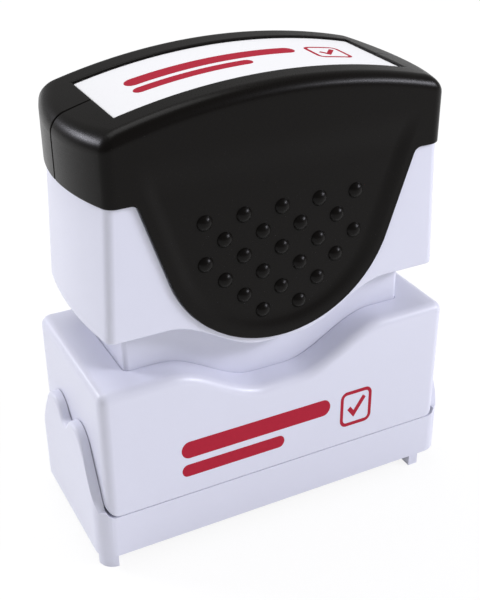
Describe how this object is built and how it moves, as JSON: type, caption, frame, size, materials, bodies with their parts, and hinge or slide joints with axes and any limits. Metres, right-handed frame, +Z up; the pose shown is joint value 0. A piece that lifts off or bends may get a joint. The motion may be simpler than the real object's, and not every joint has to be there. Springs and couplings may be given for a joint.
{
  "type": "pre-inked stamp",
  "caption": "Pre-inked desk stamp: a sprung handle with a black thumb grip slides into a white base while curved shutter leaves swing clear of the inked die.",
  "frame": {"origin": "on the table, under the middle of the stamp", "axes": "+Z up along the handle's stroke, +X to the right along the stamp's width, -Y towards the front face"},
  "size_m": [0.0612, 0.0266, 0.0714],
  "materials": {
    "white_moulding": "satin white moulding",
    "inner_moulding": "plain white moulding",
    "black_moulding": "satin black moulding",
    "label": "smooth white label stock",
    "steel": "drawn",
    "inked_felt": "felt soaked with red ink",
    "die_rubber": "microporous, inked red"
  },
  "bodies": {
    "base": {"base_casing": "white_moulding", "bottom_frame": "white_moulding", "spring_bridge": "inner_moulding", "shutter_pivot_left": "steel", "shutter_pivot_right": "steel", "return_spring_left": "steel", "return_spring_right": "steel"},
    "handle": {"handle_shell": "white_moulding", "front_grip": "black_moulding", "rear_grip": "black_moulding", "index_label": "label", "plunger": "white_moulding", "handle_screws": "steel", "shutter_drive_pin_left": "steel", "shutter_drive_pin_right": "steel", "ink_reservoir": "inked_felt", "stamp_die": "die_rubber", "die_bezel": "inner_moulding"},
    "front_leaf": {"front_shutter": "inner_moulding"},
    "rear_leaf": {"rear_shutter": "inner_moulding"}
  },
  "joints": [
    {"name": "handle_press", "type": "slide", "parent": "base", "child": "handle", "axis": [0, 0, -1], "range_m": [0, 0.007], "stiffness_N_per_m": 300, "springref_m": -0.01, "deforming": ["return_spring_left", "return_spring_right"]},
    {"name": "front_leaf_swing", "type": "hinge", "parent": "base", "child": "front_leaf", "pos_m": [0, 0, 0.01285], "axis": [1, 0, 0], "range_deg": [-90, 0]},
    {"name": "rear_leaf_swing", "type": "hinge", "parent": "base", "child": "rear_leaf", "pos_m": [0, 0, 0.01285], "axis": [1, 0, 0], "range_deg": [0, 90]}
  ],
  "couplings": [
    {"joint": "front_leaf_swing", "follows": "handle_press", "rad_per_m": -224.3},
    {"joint": "rear_leaf_swing", "follows": "handle_press", "rad_per_m": 224.3}
  ]
}
